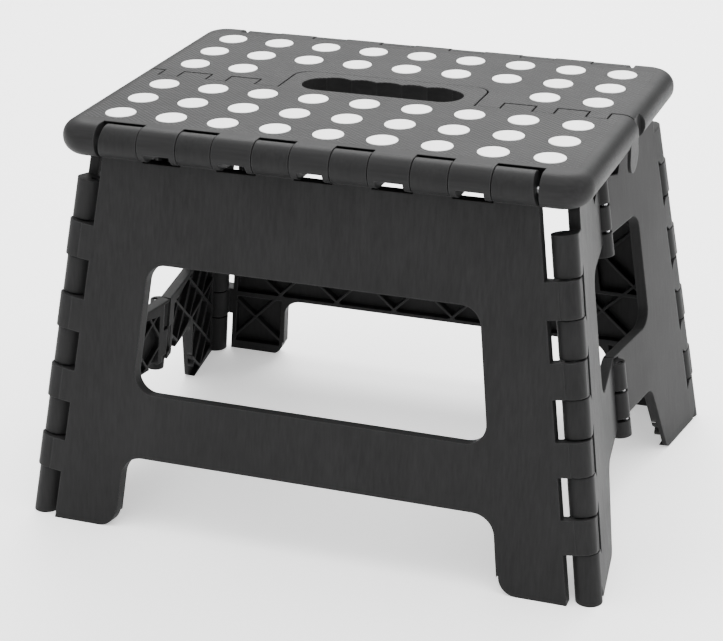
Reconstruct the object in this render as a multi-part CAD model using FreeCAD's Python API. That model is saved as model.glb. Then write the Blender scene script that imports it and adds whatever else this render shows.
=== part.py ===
import FreeCAD, Part
import math
import os

from FreeCAD import Matrix, Placement, Rotation, Vector

# ---------------------------------------------------------------- overall sizes, mm
overall_height = 220.0      # floor to standing surface
top_half_width = 143.0      # centre to the end of the standing surface
top_thickness = 18.0        # standing surface to skirt edge
lean_front = 0.143          # leg panel splay, forward run per rise
lean_side = 0.136           # corner splay, sideways run per rise
leg_face_y = 94.5           # leg outer face from centre, at standing-surface level
tall = overall_height / 220.0       # scale of everything placed up the panels
across = top_half_width / 143.0     # scale of everything placed along the board

# ---------------------------------------------------------------- panels
leg_thickness = 7.0
side_thickness = 6.0
skin = 2.6                  # moulded wall thickness
rib = 1.5                   # rib width
rim = 2.4                   # wall around every opening and edge

# ---------------------------------------------------------------- hinges
corner_barrel_x = top_half_width - 18.4    # corner knuckle centre, at standing-surface level
corner_r = 7.0              # corner knuckle radius
corner_depth = 9.5          # corner axis behind the leg outer face
corner_shift = 2.5          # corner knuckle centre outside its own pin
mid_r = 5.6                 # middle side knuckle radius
mid_shift = 3.0             # middle knuckle centre inside its own pin
mid_inset = 1.66            # fold axis inside the line between the corner axes
edge_r = 8.75               # leg-to-top knuckle radius
edge_shift = 1.0            # edge knuckle centre above its own pin
pin_r = 2.0                 # long top and corner pins
mid_pin_r = 1.5             # short pins of the side fold
running = 0.1               # radial clearance of a pin in its bores
knuckle_gap = 1.0           # end clearance between neighbouring knuckles
leg_notch_gap = 0.0         # leg panel edge beyond the corner knuckle radius, from the axis
side_notch_gap = 0.5        # side panel edge beyond the corner knuckle radius
mid_notch_gap = 1.0         # clearance behind a middle knuckle
top_notch_gap = 1.2         # clearance in the board behind a leg knuckle
leg_top_gap = 1.0           # clearance in the leg under a board knuckle
loose_bore = 2.5            # extra bore radius where the left side fold floats
loose_notch = 1.4           # extra clearance behind a floating knuckle
centre_float = 6.5          # travel of the floating front hubs in the rear half
ear_float = 5.0             # travel of the ears past the rear half
ear_side_gap = 1.2          # sideways room for the ears
edge_y = leg_face_y + 0.5   # leg-to-top hinge axis from centre
edge_z = overall_height - 10.0
centre_z = overall_height - 14.0   # centre hinge axis height
hub_r = 4.5                 # front hubs of the centre hinge

# ---------------------------------------------------------------- leg panel
leg_top_z = overall_height - 17.0
corner_bands = [(25.9 * tall, 44.9 * tall), (65.9 * tall, 84.8 * tall),
                (105.6 * tall, 124.9 * tall), (145.4 * tall, 165.4 * tall)]   # leg knuckles
side_top_knuckle_z = overall_height - 33.0
edge_bands = [(11.0 * across, 30.8 * across), (53.6 * across, 72.8 * across),
              (95.2 * across, 118.6 * across)]    # leg knuckles along the top hinge
window_top_z, window_bottom_z = 148.7 * tall, 77.4 * tall
window_half_top, window_half_bottom, window_r = 90.6 * across, 98.9 * across, 11.0
cutout_top_z = 41.5 * tall
cutout_half_top, cutout_half_bottom, cutout_r = 103.7 * across, 108.4 * across, 12.0
foot_r = 10.0

# ---------------------------------------------------------------- side panels
side_top_z = overall_height - 24.0
side_dip_z = overall_height - 40.5      # notch in the top edge that clears the centre hinge ears
side_dip_y = 34.0
side_fold_z = overall_height - 35.5
side_window = [(-49.0, 150.7 * tall), (-54.0, 83.3 * tall)]
side_window_r = 10.0
side_arch = [(-50.0, 45.0 * tall), (-67.0, 0.3)]
side_foot_r = 5.0
side_arch_r = 9.0
web_bottom_z = 44.0 * tall
corner_chamfer = 4.0        # small bevels where a side knuckle meets its panel
mid_front = [(171.6 * tall, 186.0 * tall), (142.0 * tall, 155.9 * tall),
             (65.4 * tall, 81.5 * tall), (37.5 * tall, 47.8 * tall)]
mid_rear = [(156.7 * tall, 170.8 * tall), (48.6 * tall, 64.6 * tall)]

# ---------------------------------------------------------------- top halves
corner_plan_r = 16.0        # corners of the board seen from above
edge_round = 8.7            # round edge all the way about the board
finger_front_y, finger_rear_y = -5.0, 4.2
fingers = [(70.5 * across, 87.0 * across), (99.8 * across, 116.0 * across),
           (128.6 * across, top_half_width)]
tongue_half, tongue_y, tongue_r = 55.5, 27.5, 9.0
seam_thin, seam_side, seam_wide = 0.2, 1.0, 1.3     # gaps along the seam
slot_half, slot_front_y, slot_rear_y = 46.0, -4.5, 18.5
groove_depth = 2.4
grooves = 5
collar_wall = 2.6
collar_bottom_z = overall_height - 23.0
seam_relief = 10.5          # underside of the rear half cleared beside the seam
tongue_relief = 34.0        # underside of the rear half cleared about the tongue
tongue_rise = 6.5           # rear rim of the tongue ends this far above the rim of the board
ear_r, ear_y, ear_z = 8.7, -3.0, overall_height - 19.5
ear_inner_x = top_half_width - 1.8

# ---------------------------------------------------------------- grip dots
dot_r, dot_deep, dot_proud = 8.15, 1.2, 0.3
dot_pitch_x, dot_rows = 29.2 * across, [20.7, 47.8, 75.0]
rear_inner_columns = [-4, -3, 3, 4]

lean = math.atan(lean_front)
foot_y = leg_face_y + lean_front * overall_height
X, Y, Z = Vector(1, 0, 0), Vector(0, 1, 0), Vector(0, 0, 1)
BIG = 400.0


def box(x0, x1, y0, y1, z0, z1):
    return Part.makeBox(x1 - x0, y1 - y0, z1 - z0, Vector(x0, y0, z0))


def rod(r, start, end):
    step = end - start
    return Part.makeCylinder(r, step.Length, start, step)


def join(shapes):
    if len(shapes) == 1:
        return shapes[0]
    return shapes[0].fuse(shapes[1:]).removeSplitter()


def cut(shape, tools):
    return shape.cut(tools) if tools else shape


def rounded_loop(points, radii):
    """Closed flat loop through points in the XZ plane with a radius at each corner."""
    count = len(points)
    edges, tangents = [], []
    for i in range(count):
        here = points[i]
        r = radii[i]
        if r <= 0:
            tangents.append((here, here))
            continue
        to_prev = (points[i - 1] - here).normalize()
        to_next = (points[(i + 1) % count] - here).normalize()
        half = to_prev.getAngle(to_next) / 2
        back = r / math.tan(half)
        a, b = here + to_prev * back, here + to_next * back
        middle = (to_prev + to_next).normalize()
        bulge = here + middle * (r / math.sin(half) - r)
        edges.append(Part.Arc(a, bulge, b).toShape())
        tangents.append((a, b))
    for i in range(count):
        a, b = tangents[i][1], tangents[(i + 1) % count][0]
        if (b - a).Length > 1e-6:
            edges.append(Part.makeLine(a, b))
    return Part.Wire(Part.__sortEdges__(edges))


def slab(points, radii, y0, y1):
    """Flat outline in XZ, thick from y0 to y1."""
    flat = [Vector(p[0], y0, p[1]) for p in points]
    face = Part.Face(rounded_loop(flat, radii))
    return face.extrude(Vector(0, y1 - y0, 0))


def bar(a, b, width, y0, y1):
    """Straight rib between two points of the XZ plane."""
    along = Vector(b[0] - a[0], 0, b[1] - a[1])
    side = Vector(-along.z, 0, along.x).normalize() * (width / 2)
    p, q = Vector(a[0], y0, a[1]), Vector(b[0], y0, b[1])
    loop = Part.makePolygon([p + side, q + side, q - side, p - side, p + side])
    return Part.Face(loop).extrude(Vector(0, y1 - y0, 0))


def lattice(x0, x1, z0, z1, pitch, y0, y1):
    """Crossing diagonal ribs over a rectangle."""
    bars = []
    rise = z1 - z0
    start = math.floor((x0 - rise) / pitch) * pitch
    x = start
    while x < x1:
        bars.append(bar((x, z0), (x + rise, z1), rib, y0, y1))
        bars.append(bar((x + rise, z0), (x, z1), rib, y0, y1))
        x += pitch
    return Part.makeCompound(bars)


# ---------------------------------------------------------------- hinge lines
def corner_point(z):
    """Corner hinge axis, right front, at height z."""
    down = overall_height - z
    x = corner_barrel_x - corner_shift + lean_side * down
    y = -(leg_face_y + lean_front * down - corner_depth / math.cos(lean))
    return Vector(x, y, z)


# corner axes and the side fold axis all meet at one apex above the stool
apex_down = -(leg_face_y - corner_depth / math.cos(lean)) / lean_front
apex = corner_point(overall_height - apex_down)
corner_up = (apex - corner_point(0)).normalize()
barrel_out = Vector(corner_shift, 0, 0)
mid_z = overall_height / 2
mid_x = corner_point(mid_z).x - mid_inset


def mid_point(z):
    """Side fold axis, right side, at height z."""
    share = (apex.z - z) / (apex.z - mid_z)
    return Vector(apex.x + (mid_x - apex.x) * share, 0, z)


def mid_knuckle(z):
    """Centre line of the fold knuckles, right side, at height z."""
    return mid_point(z) - Vector(mid_shift, 0, 0)


mid_up = (apex - mid_point(0)).normalize()

# frame of the right front side panel: x toward the fold axis, z up the corner axis
corner_foot = corner_point(0)
to_mid = mid_point(mid_z) - corner_foot
to_mid = to_mid - corner_up * to_mid.dot(corner_up)
reach = to_mid.Length
flat_out = to_mid.cross(corner_up).normalize()
turn = math.asin((corner_r + corner_shift + mid_shift) / reach)
side_x = (to_mid.normalize() * math.cos(turn) - flat_out * math.sin(turn)).normalize()
side_z = corner_up
side_y = side_z.cross(side_x)
side_frame = Placement(Matrix(side_x.x, side_y.x, side_z.x, corner_foot.x,
                              side_x.y, side_y.y, side_z.y, corner_foot.y,
                              side_x.z, side_y.z, side_z.z, corner_foot.z))


barrel_local = side_frame.inverse().multVec(corner_foot + barrel_out)
side_face = barrel_local.y - corner_r


def on_side(y, z):
    """Point of the side outer face at world y and z, in the side panel frame."""
    base = corner_foot + side_y * side_face
    dy, dz = y - base.y, z - base.z
    det = side_x.y * side_z.z - side_z.y * side_x.z
    along = (dy * side_z.z - side_z.y * dz) / det
    up = (side_x.y * dz - dy * side_x.z) / det
    return (along, up)


def up_leg(z):
    """Distance up the sloped leg face for a height z."""
    return z / math.cos(lean)


leg_frame = Placement(Vector(0, -foot_y, 0), Rotation(X, -math.degrees(lean)))
edge_local = leg_frame.inverse().multVec(Vector(0, -edge_y, edge_z + edge_shift))
leg_notch_in = corner_r + leg_notch_gap     # panel edges beside the other's knuckles, from the axis
side_notch_in = corner_r + side_notch_gap


def corner_slot(z0, z1, grow, inward, notch_in):
    """Clearance block around the corner axis between two heights, in the world frame.
    inward is the direction from the axis into the panel that is being notched."""
    a = corner_foot + corner_up * ((z0 - grow) / corner_up.z)
    length = (z1 - z0 + 2 * grow) / corner_up.z
    inward = (inward - corner_up * inward.dot(corner_up)).normalize()
    across = corner_up.cross(inward)
    frame = Placement(Matrix(inward.x, across.x, corner_up.x, a.x,
                             inward.y, across.y, corner_up.y, a.y,
                             inward.z, across.z, corner_up.z, a.z))
    block = Part.makeBox(notch_in + 30, 40, length, Vector(-30, -20, 0))
    block.Placement = frame
    return block


def side_bands():
    """Heights of the side panel knuckles on the corner hinge."""
    edges = [-8.0]
    for low, high in corner_bands:
        edges += [low, high]
    edges.append(side_top_knuckle_z)
    return [(edges[i], edges[i + 1]) for i in range(0, len(edges), 2)]


def mirror_x(shape):
    return shape.mirror(Vector(0, 0, 0), X)


def mirror_y(shape):
    return shape.mirror(Vector(0, 0, 0), Y)


# ================================================================ leg panel (front)
def corner_x_local(z):
    p = leg_frame.inverse().multVec(corner_point(z))
    return p.x, p.z


def make_leg():
    y_in = leg_thickness
    xb, zb = corner_x_local(-6)
    xt, zt = corner_x_local(leg_top_z)
    outline = [(-xb, zb), (-xt, zt), (xt, zt), (xb, zb)]
    plate = slab(outline, [0, 0, 0, 0], 0, y_in)

    # window and foot cut-out
    wt, wb = up_leg(window_top_z), up_leg(window_bottom_z)
    window_pts = [(-window_half_bottom, wb), (-window_half_top, wt),
                  (window_half_top, wt), (window_half_bottom, wb)]
    window = slab(window_pts, [window_r] * 4, -1, y_in + 1)
    ct = up_leg(cutout_top_z)
    spread = (cutout_half_bottom - cutout_half_top) / ct
    low = -8.0
    cutout_pts = [(-cutout_half_bottom + spread * low, low), (-cutout_half_top, ct),
                  (cutout_half_top, ct), (cutout_half_bottom - spread * low, low)]
    cutout = slab(cutout_pts, [0, cutout_r, cutout_r, 0], -1, y_in + 1)

    # inner pockets between skin, rims and diagonal ribs
    edge = side_notch_in + rim

    def inner(z):
        x, up = corner_x_local(z)
        return x - edge, up
    rail_low, rail_high = wt + rim, up_leg(leg_top_z) - 9.0
    x1, x2 = inner(window_top_z)[0], inner(leg_top_z - 13)[0]
    pockets = [
        slab([(-x1, rail_low), (-x2, rail_high), (x2, rail_high), (x1, rail_low)],
             [0] * 4, skin, y_in + 1),
    ]
    b_high, b_low = wb - rim, ct + rim
    x3, x4 = inner(window_bottom_z)[0], inner(cutout_top_z)[0]
    pockets.append(slab([(-x4, b_low), (-x3, b_high), (x3, b_high), (x4, b_low)],
                        [0] * 4, skin, y_in + 1))
    for s in (-1, 1):
        lo = (window_half_bottom + rim, wb)
        hi = (window_half_top + rim, wt)
        pts = [(s * inner(window_bottom_z)[0], lo[1]), (s * inner(window_top_z)[0], hi[1]),
               (s * hi[0], hi[1]), (s * lo[0], lo[1])]
        pockets.append(slab(pts, [0] * 4, skin, y_in + 1))
        pts = [(s * inner(7)[0], 7.0), (s * inner(cutout_top_z - 1)[0], ct - 1),
               (s * (cutout_half_top + rim), ct - 1), (s * (cutout_half_bottom + rim), 7.0)]
        pockets.append(slab(pts, [0] * 4, skin, y_in + 1))
    ribs = lattice(-150, 150, 0, up_leg(leg_top_z), 38.0, skin - 0.5, y_in)
    pocket = join(pockets).cut(ribs)

    # barrels along the top hinge with a short neck down to the panel
    ex, ez = edge_local.y, edge_local.z
    barrels = []
    for a, b in edge_bands:
        for x0, x1 in ((a, b), (-b, -a)):
            tube = rod(edge_r, Vector(x0, ex, ez), Vector(x1, ex, ez))
            neck_box = box(x0, x1, 0, y_in, up_leg(leg_top_z) - 6, ez)
            barrels += [tube, neck_box]
    body = plate.cut([window, cutout, pocket])
    body = body.fuse(barrels)
    body.Placement = leg_frame.multiply(body.Placement)

    # corner knuckles
    for s in (1, -1):
        start = corner_foot + barrel_out - corner_up * 8
        end = corner_foot + barrel_out + corner_up * ((corner_bands[-1][1] + 2) / corner_up.z)
        out = (Vector(0, -math.cos(lean), math.sin(lean))) * (corner_depth - corner_r)
        tubes = [rod(corner_r, start, end), rod(corner_r, start + out, end + out)]
        if s < 0:
            tubes = [mirror_x(tube) for tube in tubes]
        body = body.fuse(tubes)
    cuts = []
    for low_z, high_z in side_bands():
        if high_z == side_top_knuckle_z:
            high_z = overall_height
        grow = knuckle_gap / 2
        block = corner_slot(low_z, high_z, grow, Vector(-1, 0, 0), leg_notch_in)
        cuts += [block, mirror_x(block)]
    bore = rod(pin_r + running, corner_foot - corner_up * 12, corner_foot + corner_up * 240)
    cuts += [bore, mirror_x(bore)]
    cuts.append(rod(pin_r + running, Vector(-BIG, -edge_y, edge_z), Vector(BIG, -edge_y, edge_z)))

    # room for the knuckles of the top
    r = edge_r + leg_top_gap
    knuckle_z = edge_z + edge_shift
    limits = [0.0]
    for a, b in edge_bands:
        limits += [a - knuckle_gap / 2, b + knuckle_gap / 2]
    limits.append(200.0)
    for i in range(0, len(limits), 2):
        for s in (-1, 1):
            x0, x1 = s * limits[i], s * limits[i + 1]
            if i == 0:
                x0 = -s * 0.5
            cuts.append(rod(r, Vector(x0, -edge_y, knuckle_z), Vector(x1, -edge_y, knuckle_z)))
            x0, x1 = sorted((x0, x1))
            cuts.append(box(x0, x1, -edge_y, 0, knuckle_z - r, BIG))
    cuts.append(box(-BIG, BIG, -BIG, BIG, -60, 0))
    body = body.cut(cuts)

    # rounded inner corners of the feet
    for s in (-1, 1):
        x = cutout_half_bottom
        block = box(x - 1, x + foot_r, -1, y_in + 1, -1, foot_r)
        tube = rod(foot_r, Vector(x + foot_r, -2, foot_r), Vector(x + foot_r, y_in + 2, foot_r))
        corner = block.cut(tube)
        if s < 0:
            corner = mirror_x(corner)
        corner.Placement = leg_frame.multiply(corner.Placement)
        body = body.cut(corner)
    return body


# ================================================================ side half panel
def make_side(mine, others, floating=False, hooked=False):
    """Right front side half; mine and others are the knuckle heights on the fold axis.
    floating widens the notches, and hooked opens the knuckles round a loose pin."""
    y_out, y_in = side_face, side_face + side_thickness
    mid_hi = on_side(0, side_top_z)
    mid_lo = on_side(0, 0)

    def fold_x(up):
        share = (up - mid_lo[1]) / (mid_hi[1] - mid_lo[1])
        return mid_lo[0] + (mid_hi[0] - mid_lo[0]) * share
    dip_start = on_side(-side_dip_y, side_top_z)
    dip_end = on_side(-side_dip_y + 8, side_dip_z)
    fold_up = on_side(0, side_fold_z)[1]
    top = on_side(-60, side_top_z)[1]
    top_notch_x = side_notch_in
    knuckle_top = side_top_knuckle_z / corner_up.z
    outline = [(0, 12), (0, knuckle_top), (top_notch_x, knuckle_top), (top_notch_x, top),
               dip_start, dip_end, on_side(-6, side_fold_z), (fold_x(fold_up), fold_up),
               (fold_x(on_side(0, web_bottom_z)[1]), on_side(0, web_bottom_z)[1]),
               on_side(side_arch[0][0], side_arch[0][1]),
               on_side(side_arch[1][0], side_arch[1][1]), on_side(-110, 0.3), (0, 8)]
    radii = [0, 0, 0, 4.0, 3.0, 3.0, 2.0, 0, 0, side_arch_r, side_foot_r, 0, 0]
    plate = slab(outline, radii, y_out, y_in)
    w_top, w_bottom = side_window
    window_pts = [on_side(w_bottom[0], w_bottom[1]), on_side(w_top[0], w_top[1]),
                  on_side(40, w_top[1]), on_side(40, w_bottom[1])]
    window = slab(window_pts, [side_window_r, side_window_r, 0, 0], y_out - 1, y_in + 1)

    # pockets with diagonal ribs on the inner face
    left = side_notch_in + rim
    wt, wb = on_side(-40, w_top[1])[1], on_side(-40, w_bottom[1])[1]
    w_edge = on_side(*w_top)[0]
    pocket_a = slab([(left, wt + rim), (left, top - rim), (w_edge + 28, top - rim - 1),
                     (fold_x(top) - 9, top - 14), (fold_x(wt) - 9, wt + rim)],
                    [0] * 5, y_out + skin, y_in + 1)
    pocket_b = slab([(left, wb), (left, wt), (on_side(*w_top)[0] - rim, wt),
                     (on_side(*w_bottom)[0] - rim, wb)], [0] * 4, y_out + skin, y_in + 1)
    web = on_side(-30, web_bottom_z)[1]
    pocket_c = slab([(left, web + rim), (left, wb - rim), (fold_x(wb) - 9, wb - rim),
                     (fold_x(web) - 9, web + rim)], [0] * 4, y_out + skin, y_in + 1)
    foot_in = on_side(-60, 8)[0]
    pocket_d = slab([(left, 7), (left, web), (on_side(side_arch[0][0], 40)[0] - rim - 3, web),
                     (foot_in - rim, 7)], [0] * 4, y_out + skin, y_in + 1)
    ribs = lattice(0, 130, 0, 230, 27.0, y_out + skin - 0.5, y_in)
    pocket = join([pocket_a, pocket_b, pocket_c, pocket_d]).cut(ribs)
    body = plate.cut([window, pocket])
    tube = rod(corner_r, Vector(barrel_local.x, barrel_local.y, -8),
               Vector(barrel_local.x, barrel_local.y, knuckle_top))
    body = body.fuse(tube)
    bevels = []
    for low, high in side_bands():
        for level, sign in ((low, 1), (high, -1)):
            if level < 0 or level == side_top_knuckle_z:
                continue
            z = level / corner_up.z + sign * knuckle_gap / 2
            corner = Vector(side_notch_in, y_out - 1, z)
            loop = [corner, corner - X * corner_chamfer, corner + Z * (sign * corner_chamfer), corner]
            bevels.append(Part.Face(Part.makePolygon(loop)).extrude(Y * 4))
    body = body.cut(bevels)
    body.Placement = side_frame.multiply(body.Placement)

    # knuckles on the fold axis, joined to the panel by a short root
    tubes = []
    for low, high in mine:
        a, b = mid_knuckle(low + knuckle_gap / 2), mid_knuckle(high - knuckle_gap / 2)
        tubes.append(rod(mid_r, a, b))
    body = body.fuse(tubes)
    cuts = []
    reach_in = Vector(side_x.x, side_x.y, 0).normalize()
    across = mid_up.cross(reach_in)
    for low, high in others:
        a, b = mid_knuckle(low - knuckle_gap / 2), mid_knuckle(high + knuckle_gap / 2)
        r = mid_r + mid_notch_gap + (loose_notch if floating else 0)
        cuts.append(rod(r, a, b))
        block = Part.makeBox(40, 30, (b - a).Length, Vector(0.7, -15, 0))
        block.Placement = Placement(Matrix(reach_in.x, across.x, mid_up.x, a.x,
                                           reach_in.y, across.y, mid_up.y, a.y,
                                           reach_in.z, across.z, mid_up.z, a.z))
        cuts.append(block)
    extra = loose_bore if hooked else 0
    cuts.append(rod(mid_pin_r + running + extra, mid_point(-20), mid_point(240)))
    for low_z, high_z in corner_bands:
        cuts.append(corner_slot(low_z, high_z, knuckle_gap / 2, side_x, side_notch_in))
    cuts.append(rod(pin_r + running, corner_foot - corner_up * 12, corner_foot + corner_up * 240))
    cuts.append(box(-BIG, BIG, -BIG, BIG, -60, 0))
    body = body.cut(cuts)
    return trim_at_fold(body, mine)


def trim_at_fold(body, mine):
    """Panel stops just short of the fold axis except at its own knuckles."""
    keep = []
    for low, high in mine:
        a, b = mid_knuckle(low + knuckle_gap / 2), mid_knuckle(high - knuckle_gap / 2)
        keep.append(rod(mid_r + 0.02, a, b))
    far = box(0, BIG, -0.25, 60, -10, overall_height)
    far = far.cut(keep)
    return body.cut(far)


# ================================================================ top halves
def seam_outline(front):
    """Half outline of a top panel edge at the seam, from the middle to the right end."""
    thin, side, wide = (0, 0, 0) if front else (seam_thin, seam_side, seam_wide)
    base, tip = finger_front_y + thin, finger_rear_y + wide
    pts = [(0, tongue_y + thin), (tongue_half + side, tongue_y + thin), (tongue_half + side, base)]
    for a, b in fingers:
        last = b == top_half_width
        end = b + 20 if last else b + side
        pts += [(a - side, base), (a - side, tip), (end, tip)]
        if not last:
            pts.append((end, base))
    return pts


def seam_prism(front, z0, z1):
    right = seam_outline(front)
    left = [(-x, y) for x, y in reversed(right)]
    loop = right + [(right[-1][0], -200), (left[0][0], -200)] + left[:-1]
    flat = [Vector(x, y, z0) for x, y in loop]
    wire = Part.makePolygon(flat + [flat[0]])
    prism = Part.Face(wire).extrude(Vector(0, 0, z1 - z0))
    behind = [e for e in prism.Edges if e.BoundBox.ZLength > 1 and e.BoundBox.YMin > tongue_y - 1
              and abs(e.BoundBox.XMin) > 1]
    return prism.makeFillet(tongue_r, behind)


def top_blank():
    """Whole standing board with rounded corners and a full round edge."""
    zt, zb = overall_height, overall_height - top_thickness
    y = edge_y + edge_r
    board = box(-top_half_width, top_half_width, -y, y, zb, zt)
    upright = [e for e in board.Edges if e.BoundBox.ZLength > top_thickness - 1]
    board = board.makeFillet(corner_plan_r, upright)
    around = [e for e in board.Edges if e.BoundBox.ZLength < 0.1]
    return board.makeFillet(edge_round, around)


def slot_shape(grow, z0, z1):
    """Hand slot with finger grooves along its rear edge."""
    r = (slot_rear_y - slot_front_y) / 2
    middle = (slot_rear_y + slot_front_y) / 2
    x1 = slot_half - r
    shape = box(-x1, x1, slot_front_y - grow, slot_rear_y + grow, z0, z1)
    ends = [Part.makeCylinder(r + grow, z1 - z0, Vector(s * x1, middle, z0)) for s in (-1, 1)]
    shape = shape.fuse(ends)
    width = 2 * (x1 + 2) / grooves
    radius = (width ** 2 / 4 + groove_depth ** 2) / (2 * groove_depth)
    tools = []
    for i in range(grooves):
        x = -(x1 + 2) + width * (i + 0.5)
        y = slot_rear_y - radius + groove_depth
        tool = Part.makeCylinder(radius + grow, z1 - z0, Vector(x, y, z0))
        tools.append(tool.common(box(x - width / 2 - grow, x + width / 2 + grow, middle,
                                     slot_rear_y + 10, z0, z1)))
    return shape.fuse(tools)


def dot_centres(front):
    out = []
    for i in range(-4, 5):
        for row, y in enumerate(dot_rows):
            if not front and row == 0 and i not in rear_inner_columns:
                continue
            out.append((i * dot_pitch_x, -y if front else y))
    return out


def hub_bands():
    """Spans of the centre hinge hubs under the front fingers, right side."""
    return fingers[:2] + [(fingers[2][0], top_half_width - 7.0)]


def make_top(front):
    zt, zb = overall_height, overall_height - top_thickness
    blank = top_blank()
    prism = seam_prism(front, zb - 20, zt + 5)
    half = blank.common(prism) if front else blank.cut(prism)
    s = -1 if front else 1
    inner_end = top_half_width - skin - 4.0

    # hollow underside with a grid of ribs
    wall = skin
    y_edge = edge_y - edge_r - top_notch_gap - wall
    y_seam = 9.0
    hollow = box(-inner_end, inner_end, y_seam, y_edge, zb - 1, zt - skin)
    ribs = [box(-inner_end, inner_end, y - rib / 2, y + rib / 2, zb + 3, zt) for y in (34.3, 61.0)]
    ribs += [box(x - rib / 2, x + rib / 2, 0, y_edge, zb + 3, zt)
             for x in [(i - 4.5) * dot_pitch_x for i in range(10)]]
    hollow = hollow.cut(ribs)
    if front:
        hollow = mirror_y(hollow)
    cuts = [hollow]
    if front:
        cuts.append(box(-tongue_half - 1, tongue_half + 1, tongue_y - 8, tongue_y + 1, zb - 1, zb + tongue_rise))
    else:
        cuts.append(box(-tongue_half - 3, tongue_half + 3, 0, tongue_relief, zb - 1, zt - skin))

    # hand slot with a deep collar on the front half, clear of the rear half
    if front:
        under = box(-tongue_half + wall, tongue_half - wall, -8, tongue_y - wall, zb - 1, zt - skin)
        under = under.cut(slot_shape(collar_wall, zb - 2, zt))
        cuts.append(under)
    half = half.cut(cuts)
    if front:
        collar = slot_shape(collar_wall, collar_bottom_z, zt - 1)
        half = half.fuse(collar)
        half = half.cut(slot_shape(0, collar_bottom_z - 5, zt + 5))

    # hubs of the centre hinge under the front fingers, and the ears at their ends
    if front:
        hubs = []
        for a, b in hub_bands():
            for x0, x1 in ((a, b), (-b, -a)):
                hubs.append(rod(hub_r, Vector(x0, 0, centre_z), Vector(x1, 0, centre_z)))
                hubs.append(box(x0, x1, -9.0, hub_r - 1.5, centre_z, zt - skin))
        for t in (-1, 1):
            x0, x1 = sorted((t * ear_inner_x, t * (top_half_width - 0.05)))
            ear = rod(ear_r, Vector(x0, ear_y, ear_z), Vector(x1, ear_y, ear_z))
            stem = box(x0, x1, ear_y - ear_r, finger_rear_y, ear_z, edge_z + edge_shift)
            hubs += [ear, stem]
        half = half.fuse(hubs)

    # room for the pins, and in the rear half for the front hubs and ears
    room = []
    hub_start, hub_end = tongue_half - 6.0, top_half_width - 6.5
    ear_room_x = ear_inner_x - ear_side_gap
    for t in (-1, 1):
        x0, x1 = sorted((t * hub_start, t * hub_end))
        a, b = Vector(x0, 0, centre_z), Vector(x1, 0, centre_z)
        if front:
            room.append(rod(pin_r + running, a, b))
            continue
        x0, x1 = sorted((t * hub_start, t * ear_room_x))
        room.append(rod(hub_r + centre_float, Vector(x0, 0, centre_z), Vector(x1, 0, centre_z)))
        room.append(box(x0, x1, -10, seam_relief, zb - 5, centre_z + 2))
        x0, x1 = sorted((t * (ear_room_x - 0.01), t * (top_half_width + 5)))
        a, b = Vector(x0, 0, centre_z), Vector(x1, 0, centre_z)
        sweep = math.hypot(ear_y, centre_z - ear_z) + ear_r
        room.append(rod(sweep + ear_float, a, b))

    # room for the leg knuckles along the edge
    y = s * edge_y
    for low, high in edge_bands:
        for x0, x1 in ((low, high), (-high, -low)):
            x0, x1 = x0 - knuckle_gap / 2, x1 + knuckle_gap / 2
            a, b = Vector(x0, y, edge_z + edge_shift), Vector(x1, y, edge_z + edge_shift)
            room.append(rod(edge_r + top_notch_gap, a, b))
            y0, y1 = sorted((y, y + s * 20))
            room.append(box(x0, x1, y0, y1, zb - 5, zt + 5))
            y0, y1 = sorted((s * (edge_y - edge_r - top_notch_gap), s * (edge_y + 20)))
            room.append(box(x0, x1, y0, y1, zb - 5, edge_z))
    pin_end = edge_bands[-1][1] + 8
    room.append(rod(pin_r + running, Vector(-pin_end, y, edge_z), Vector(pin_end, y, edge_z)))

    # open window under each knuckle of the top, round the pin tube
    spans = [(-edge_bands[0][0], edge_bands[0][0])]
    for i in range(2):
        a, b = edge_bands[i][1], edge_bands[i + 1][0]
        spans += [(a, b), (-b, -a)]
    cheek = 4.0
    for a, b in spans:
        y0, y1 = sorted((s * (edge_y + 20), s * (edge_y - edge_r - top_notch_gap - wall - 1)))
        window = box(a + cheek, b - cheek, y0, y1, zb - 5, edge_z - 2.0)
        shell = rod(pin_r + 1.3, Vector(a, y, edge_z), Vector(b, y, edge_z))
        back = box(a, b, *sorted((s * (edge_y - 4.5), s * (edge_y + 2))), edge_z, zt)
        room.append(window.cut([shell, back]))

    # recesses for the grip dots
    for x, yy in dot_centres(front):
        room.append(Part.makeCylinder(dot_r, dot_deep + 1, Vector(x, yy, zt - dot_deep)))
    return half.cut(room)


def make_dots(front):
    dots = []
    for x, y in dot_centres(front):
        dot = Part.makeCylinder(dot_r - 0.02, dot_deep + dot_proud - 0.01,
                                Vector(x, y, overall_height - dot_deep + 0.01))
        rim_edges = [e for e in dot.Edges if e.BoundBox.ZMin > overall_height and
                     len(e.Vertexes) == 1]
        dots.append(dot.makeFillet(0.25, rim_edges) if rim_edges else dot)
    return Part.makeCompound(dots)


# ================================================================ pins
def edge_pin(s):
    end = edge_bands[-1][1] + 7
    return rod(pin_r, Vector(-end, s * edge_y, edge_z), Vector(end, s * edge_y, edge_z))


def corner_pin():
    low, high = 4.0 / corner_up.z, (side_top_knuckle_z - 3) / corner_up.z
    return rod(pin_r, corner_foot + corner_up * low, corner_foot + corner_up * high)


def centre_pin(s):
    x0, x1 = sorted((s * (fingers[0][0] + 1.0), s * (top_half_width - 8.0)))
    return rod(pin_r, Vector(x0, 0, centre_z), Vector(x1, 0, centre_z))


def mid_pin(upper):
    low = mid_front[1][0] + 1.0 if upper else mid_front[3][0] + 1.0
    high = mid_front[0][1] - 1.0 if upper else mid_front[2][1] - 1.0
    return rod(mid_pin_r, mid_point(low), mid_point(high))


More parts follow.
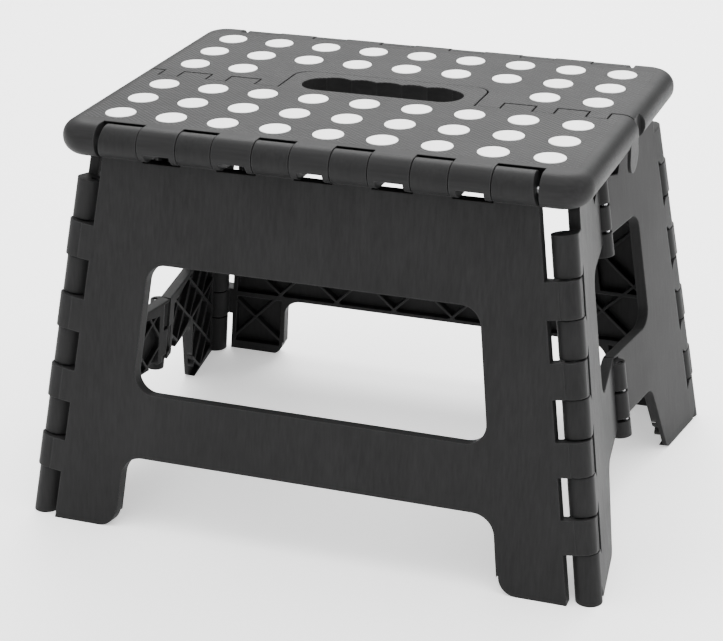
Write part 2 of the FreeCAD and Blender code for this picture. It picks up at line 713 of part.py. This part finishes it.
# ================================================================ nodes
def build():
    leg = make_leg()
    front_half = make_side(mid_front, mid_rear)
    rear_half = mirror_y(make_side(mid_rear, mid_front))
    loose_front = mirror_x(make_side(mid_rear, mid_front, floating=True, hooked=True))
    loose_rear = mirror_y(mirror_x(make_side(mid_front, mid_rear, floating=True)))
    nodes = {
        "leg_front": leg,
        "leg_rear": mirror_y(leg),
        "side_right_front": front_half,
        "side_right_rear": rear_half,
        "side_left_front": loose_front,
        "side_left_rear": loose_rear,
        "top_front": make_top(True),
        "top_rear": make_top(False),
        "front_grip_dots": make_dots(True),
        "rear_grip_dots": make_dots(False),
        "edge_pin_front": edge_pin(-1),
        "edge_pin_rear": edge_pin(1),
        "centre_pin_left": centre_pin(-1),
        "centre_pin_right": centre_pin(1),
        "corner_pin_front_right": corner_pin(),
        "corner_pin_front_left": mirror_x(corner_pin()),
        "corner_pin_rear_right": mirror_y(corner_pin()),
        "corner_pin_rear_left": mirror_x(mirror_y(corner_pin())),
        "fold_pin_right_upper": mid_pin(True),
        "fold_pin_right_lower": mid_pin(False),
        "fold_pin_left_upper": mirror_x(mid_pin(True)),
        "fold_pin_left_lower": mirror_x(mid_pin(False)),
    }
    os.makedirs("parts", exist_ok=True)
    for name, shape in nodes.items():
        shape.exportStep(os.path.join("parts", name + ".step"))
        print(name, len(shape.Solids), round(shape.Volume), shape.isValid())


build()
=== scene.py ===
import math

import bpy
from mathutils import Matrix, Vector

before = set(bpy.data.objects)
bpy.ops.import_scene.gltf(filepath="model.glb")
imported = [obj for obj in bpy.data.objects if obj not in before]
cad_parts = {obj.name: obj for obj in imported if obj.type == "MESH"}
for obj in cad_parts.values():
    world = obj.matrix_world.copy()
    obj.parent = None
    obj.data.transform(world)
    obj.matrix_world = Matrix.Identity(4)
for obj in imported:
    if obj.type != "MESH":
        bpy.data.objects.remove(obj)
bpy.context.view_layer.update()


# ---------------------------------------------------------------- small helpers for node materials
class Nodes:
    """One material's node tree, with short calls for the nodes used below."""

    def __init__(self, name):
        self.mat = bpy.data.materials.new(name)
        self.mat.use_nodes = True
        self.tree = self.mat.node_tree
        self.tree.nodes.clear()
        self.out = self.tree.nodes.new("ShaderNodeOutputMaterial")
        self.shader = self.tree.nodes.new("ShaderNodeBsdfPrincipled")
        self.link(self.shader.outputs["BSDF"], self.out.inputs["Surface"])
        self.coords = self.tree.nodes.new("ShaderNodeTexCoord").outputs["Object"]

    def link(self, a, b):
        self.tree.links.new(a, b)

    def put(self, value, socket):
        """Links a socket or sets a plain value."""
        if isinstance(value, bpy.types.NodeSocket):
            self.link(value, socket)
        else:
            socket.default_value = value

    def mapped(self, scale):
        node = self.tree.nodes.new("ShaderNodeMapping")
        node.inputs["Scale"].default_value = scale
        self.link(self.coords, node.inputs["Vector"])
        return node.outputs["Vector"]

    def noise(self, vector, scale, detail=3.0, rough=0.5):
        node = self.tree.nodes.new("ShaderNodeTexNoise")
        node.inputs["Scale"].default_value = scale
        node.inputs["Detail"].default_value = detail
        node.inputs["Roughness"].default_value = rough
        self.link(vector, node.inputs["Vector"])
        return node.outputs["Fac"]

    def math(self, kind, a, b=0.0):
        node = self.tree.nodes.new("ShaderNodeMath")
        node.operation = kind
        self.put(a, node.inputs[0])
        self.put(b, node.inputs[1])
        return node.outputs[0]

    def span(self, value, low, high, to_low=0.0, to_high=1.0):
        node = self.tree.nodes.new("ShaderNodeMapRange")
        self.put(value, node.inputs["Value"])
        node.inputs["From Min"].default_value = low
        node.inputs["From Max"].default_value = high
        node.inputs["To Min"].default_value = to_low
        node.inputs["To Max"].default_value = to_high
        return node.outputs["Result"]

    def parts(self, vector):
        node = self.tree.nodes.new("ShaderNodeSeparateXYZ")
        self.link(vector, node.inputs[0])
        return node.outputs

    def mix(self, share, a, b):
        node = self.tree.nodes.new("ShaderNodeMix")
        node.data_type = "RGBA"
        self.put(share, node.inputs[0])
        self.put(a, node.inputs[6])
        self.put(b, node.inputs[7])
        return node.outputs[2]

    def bump(self, height, depth, strength=1.0, under=None):
        node = self.tree.nodes.new("ShaderNodeBump")
        node.inputs["Strength"].default_value = strength
        node.inputs["Distance"].default_value = depth
        self.link(height, node.inputs["Height"])
        if under is not None:
            self.link(under, node.inputs["Normal"])
        return node.outputs["Normal"]

    def edges(self, radius):
        """0 on flats and 1 on edges within a radius, and the rounded normal."""
        bevel = self.tree.nodes.new("ShaderNodeBevel")
        bevel.samples = 4
        bevel.inputs["Radius"].default_value = radius
        geo = self.tree.nodes.new("ShaderNodeNewGeometry")
        dot = self.tree.nodes.new("ShaderNodeVectorMath")
        dot.operation = "DOT_PRODUCT"
        self.link(bevel.outputs["Normal"], dot.inputs[0])
        self.link(geo.outputs["Normal"], dot.inputs[1])
        return self.span(dot.outputs["Value"], 1.0, 0.86), bevel.outputs["Normal"]


# ---------------------------------------------------------------- looks, lengths in metres
panel_grey, tread_grey = 0.015, 0.016
edge_radius = 0.0011
grain_depth = 0.00009
weave_pitch, weave_angles = 0.0021, (52, -40)
tread_half_x, tread_half_y, tread_from_z = 0.1335, 0.0855, 0.2195


def grey(value):
    return (value, value, value * 1.01, 1.0)


def ridges(n, angle, pitch):
    """Fine parallel ridges across the board, 0 to 1, running at an angle to its long side."""
    x, y, _ = n.parts(n.coords)
    along = n.math("ADD", n.math("MULTIPLY", x, math.cos(angle)),
                   n.math("MULTIPLY", y, math.sin(angle)))
    wave = n.math("SINE", n.math("MULTIPLY", along, 2 * math.pi / pitch))
    return n.span(wave, -1.0, 1.0)


def inside(n, half_x, half_y, top_z):
    """1 on the flat tread area of the board, 0 on its smooth border and everywhere below."""
    x, y, z = n.parts(n.coords)
    a = n.math("LESS_THAN", n.math("ABSOLUTE", x), half_x)
    b = n.math("LESS_THAN", n.math("ABSOLUTE", y), half_y)
    c = n.math("GREATER_THAN", z, top_z)
    return n.math("MULTIPLY", n.math("MULTIPLY", a, b), c)


def moulded(name, base, tread=False):
    """Matte grey polypropylene: drawn vertical grain, fine pitting, and edges lightened as a
    painted highlight.
    """
    n = Nodes(name)
    fine_stretch = (0.05, 1.0, 1.0) if tread else (1.0, 1.0, 0.03)
    broad_stretch = (0.2, 1.0, 1.0) if tread else (1.0, 1.0, 0.2)
    lines = n.noise(n.mapped(fine_stretch), 620.0, 4.0, 0.62)
    broad = n.noise(n.mapped(broad_stretch), 60.0, 4.0, 0.6)
    pits = n.noise(n.coords, 2600.0, 2.0, 0.6)
    patches = n.noise(n.coords, 14.0, 3.0, 0.55)
    painted_edge_highlight, rounded = n.edges(edge_radius)
    tone = n.math("ADD", n.span(lines, 0.3, 0.7, -0.22, 0.22),
                  n.span(broad, 0.3, 0.7, -0.12, 0.12))
    tone = n.math("ADD", tone, n.span(patches, 0.3, 0.7, -0.10, 0.10))
    tone = n.span(tone, -0.5, 0.5)
    colour = n.mix(tone, grey(base * 0.68), grey(base * 1.36))
    height = n.math("ADD", n.math("MULTIPLY", lines, 0.8), n.math("MULTIPLY", pits, 0.5))
    if tread:
        first, second = (ridges(n, math.radians(angle), weave_pitch) for angle in weave_angles)
        weave = n.math("MULTIPLY", first, second)
        weave = n.math("MULTIPLY", n.span(weave, 0.0, 0.6),
                       inside(n, tread_half_x, tread_half_y, tread_from_z))
        colour = n.mix(n.math("MULTIPLY", weave, 0.75), colour, grey(base * 2.6))
        height = n.math("ADD", height, n.math("MULTIPLY", weave, 2.2))
    # painted highlight: colour within the bevel radius of an edge is lightened towards three times
    # the base grey
    colour = n.mix(n.math("MULTIPLY", painted_edge_highlight, 0.5), colour, grey(base * 3.0))
    n.put(colour, n.shader.inputs["Base Color"])
    rough = n.math("ADD", n.span(lines, 0.2, 0.8, 0.42, 0.56),
                   n.span(patches, 0.3, 0.7, -0.04, 0.04))
    n.put(rough, n.shader.inputs["Roughness"])
    n.shader.inputs["IOR"].default_value = 1.36
    n.shader.inputs["Specular IOR Level"].default_value = 0.09
    n.put(n.bump(height, grain_depth, 0.8, rounded), n.shader.inputs["Normal"])
    return n.mat


plastic = moulded("moulded_plastic", panel_grey)
tread = moulded("tread_plastic", tread_grey, tread=True)


def rubber():
    """Soft off-white grip inlay: fine felt-like pebble and faint dust."""
    n = Nodes("grip_rubber")
    pebble = n.noise(n.coords, 2200.0, 3.0, 0.6)
    dust = n.noise(n.coords, 60.0, 4.0, 0.6)
    tone = n.span(n.math("ADD", pebble, dust), 0.7, 1.3)
    n.put(n.mix(tone, (0.84, 0.84, 0.83, 1), (0.93, 0.93, 0.93, 1)), n.shader.inputs["Base Color"])
    n.put(n.span(pebble, 0.3, 0.7, 0.70, 0.9), n.shader.inputs["Roughness"])
    n.put(n.bump(pebble, 0.00008, 0.8), n.shader.inputs["Normal"])
    return n.mat


def steel():
    """Drawn steel pin with fine rings."""
    n = Nodes("pin_steel")
    rings = n.noise(n.coords, 900.0, 3.0, 0.6)
    n.put(n.mix(rings, (0.42, 0.42, 0.43, 1), (0.6, 0.6, 0.61, 1)), n.shader.inputs["Base Color"])
    n.shader.inputs["Metallic"].default_value = 1.0
    n.put(n.span(rings, 0.3, 0.7, 0.26, 0.42), n.shader.inputs["Roughness"])
    n.put(n.bump(rings, 0.00003, 0.6), n.shader.inputs["Normal"])
    return n.mat


dots, pins = rubber(), steel()
for name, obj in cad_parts.items():
    look = tread if name.startswith("top_") else plastic
    if name.endswith("dots"):
        look = dots
    if "_pin_" in name:
        look = pins
    for place in obj.material_slots:
        place.material = look

# ---------------------------------------------------------------- camera
eye_place, lens_mm, sensor_mm = (0.3707, -1.0339, 0.5560), 105.4, 36.0
azimuth, elevation, roll = math.radians(20.24), math.radians(23.13), math.radians(-0.54)
back = Vector((math.sin(azimuth) * math.cos(elevation),
               -math.cos(azimuth) * math.cos(elevation), math.sin(elevation)))
right = Vector((math.cos(azimuth), math.sin(azimuth), 0))
up = back.cross(right)
right, up = (right * math.cos(roll) + up * math.sin(roll),
             up * math.cos(roll) - right * math.sin(roll))
eye = bpy.data.objects.new("camera", bpy.data.cameras.new("camera"))
bpy.context.scene.collection.objects.link(eye)
turn = Matrix((right, up, back)).transposed().to_4x4()
eye.matrix_world = Matrix.Translation(eye_place) @ turn
eye.data.sensor_width = sensor_mm
eye.data.lens = lens_mm
bpy.context.scene.camera = eye

# ---------------------------------------------------------------- floor and studio light
floor_reach = 12.0
floor_glow = 0.6
horizon_strength, zenith_strength = 0.22, 2.2

corners = [(x * floor_reach, y * floor_reach, 0) for x, y in ((-1, -1), (1, -1), (1, 1), (-1, 1))]
floor_mesh = bpy.data.meshes.new("floor")
floor_mesh.from_pydata(corners, [], [(0, 1, 2, 3)])
floor = bpy.data.objects.new("floor", floor_mesh)
bpy.context.scene.collection.objects.link(floor)
paper = Nodes("paper")
fibre = paper.noise(paper.coords, 300.0, 4.0, 0.6)
paper.put(paper.mix(fibre, (0.93, 0.93, 0.93, 1), (0.96, 0.96, 0.96, 1)),
          paper.shader.inputs["Base Color"])
paper.shader.inputs["Roughness"].default_value = 0.9
paper.shader.inputs["Emission Color"].default_value = (1, 1, 1, 1)
paper.shader.inputs["Emission Strength"].default_value = floor_glow
floor.data.materials.append(paper.mat)

world = bpy.data.worlds.new("studio")
bpy.context.scene.world = world
world.use_nodes = True
sky = world.node_tree
height = sky.nodes.new("ShaderNodeSeparateXYZ")
sky.links.new(sky.nodes.new("ShaderNodeTexCoord").outputs["Generated"], height.inputs[0])
ramp = sky.nodes.new("ShaderNodeMapRange")
ramp.interpolation_type = "SMOOTHSTEP"
ramp.inputs["From Min"].default_value = 0.0
ramp.inputs["From Max"].default_value = 0.75
ramp.inputs["To Min"].default_value = horizon_strength
ramp.inputs["To Max"].default_value = zenith_strength
sky.links.new(height.outputs["Z"], ramp.inputs["Value"])
sky.links.new(ramp.outputs["Result"], sky.nodes["Background"].inputs["Strength"])
sky.nodes["Background"].inputs["Color"].default_value = (1, 1, 1, 1)


def soft_light(name, place, aim, size, power):
    data = bpy.data.lights.new(name, "AREA")
    data.shape = "RECTANGLE"
    data.size, data.size_y = size
    data.energy = power
    lamp = bpy.data.objects.new(name, data)
    lamp.location = place
    lamp.rotation_euler = (Vector(aim) - Vector(place)).to_track_quat("-Z", "Y").to_euler()
    bpy.context.scene.collection.objects.link(lamp)


centre = (0, 0, 0.12)
soft_light("rear_softbox", (-0.2, 1.5, 1.5), (0, 0, 0.2), (1.8, 1.2), 66)
soft_light("overhead", (0.1, -0.1, 2.0), centre, (1.6, 1.6), 34)
soft_light("right_softbox", (1.6, 0.5, 0.8), centre, (0.9, 1.1), 5)
soft_light("left_fill", (-1.3, -1.0, 0.7), (-0.1, -0.1, 0.1), (0.7, 0.9), 4)
